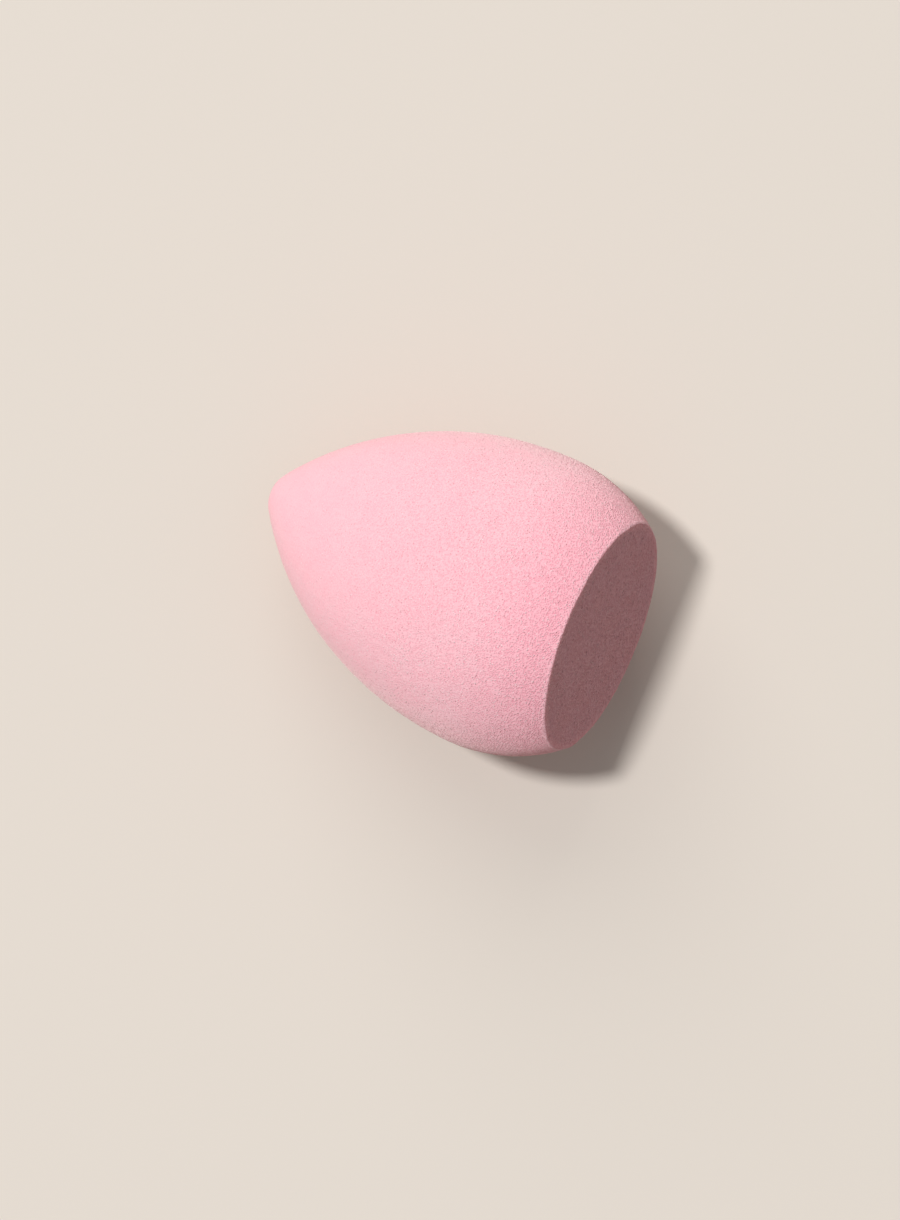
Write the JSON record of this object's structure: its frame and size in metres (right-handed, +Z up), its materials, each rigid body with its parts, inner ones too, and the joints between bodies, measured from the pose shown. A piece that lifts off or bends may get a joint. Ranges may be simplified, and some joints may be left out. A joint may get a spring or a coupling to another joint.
{
  "type": "makeup sponge",
  "caption": "Teardrop makeup sponge of soft fine-celled foam, its wide end sliced off to a flat face, lying on its side; dabbed on skin to blend liquid make-up.",
  "frame": {"origin": "centre of the small flat on which the sponge rests when it lies on its side", "axes": "+X from the tip to the wide cut end, level; +Z up from the table; +Y completes the right hand"},
  "size_m": [0.0562, 0.043, 0.0433],
  "materials": {
    "foam_skin": "matte velvety pink foam with a fine pored moulded surface",
    "foam_cut": "matte pink open-cell foam, finely grained where a blade cut it"
  },
  "bodies": {
    "root": {"moulded_skin": "foam_skin", "foam_core": "foam_cut"}
  },
  "joints": []
}
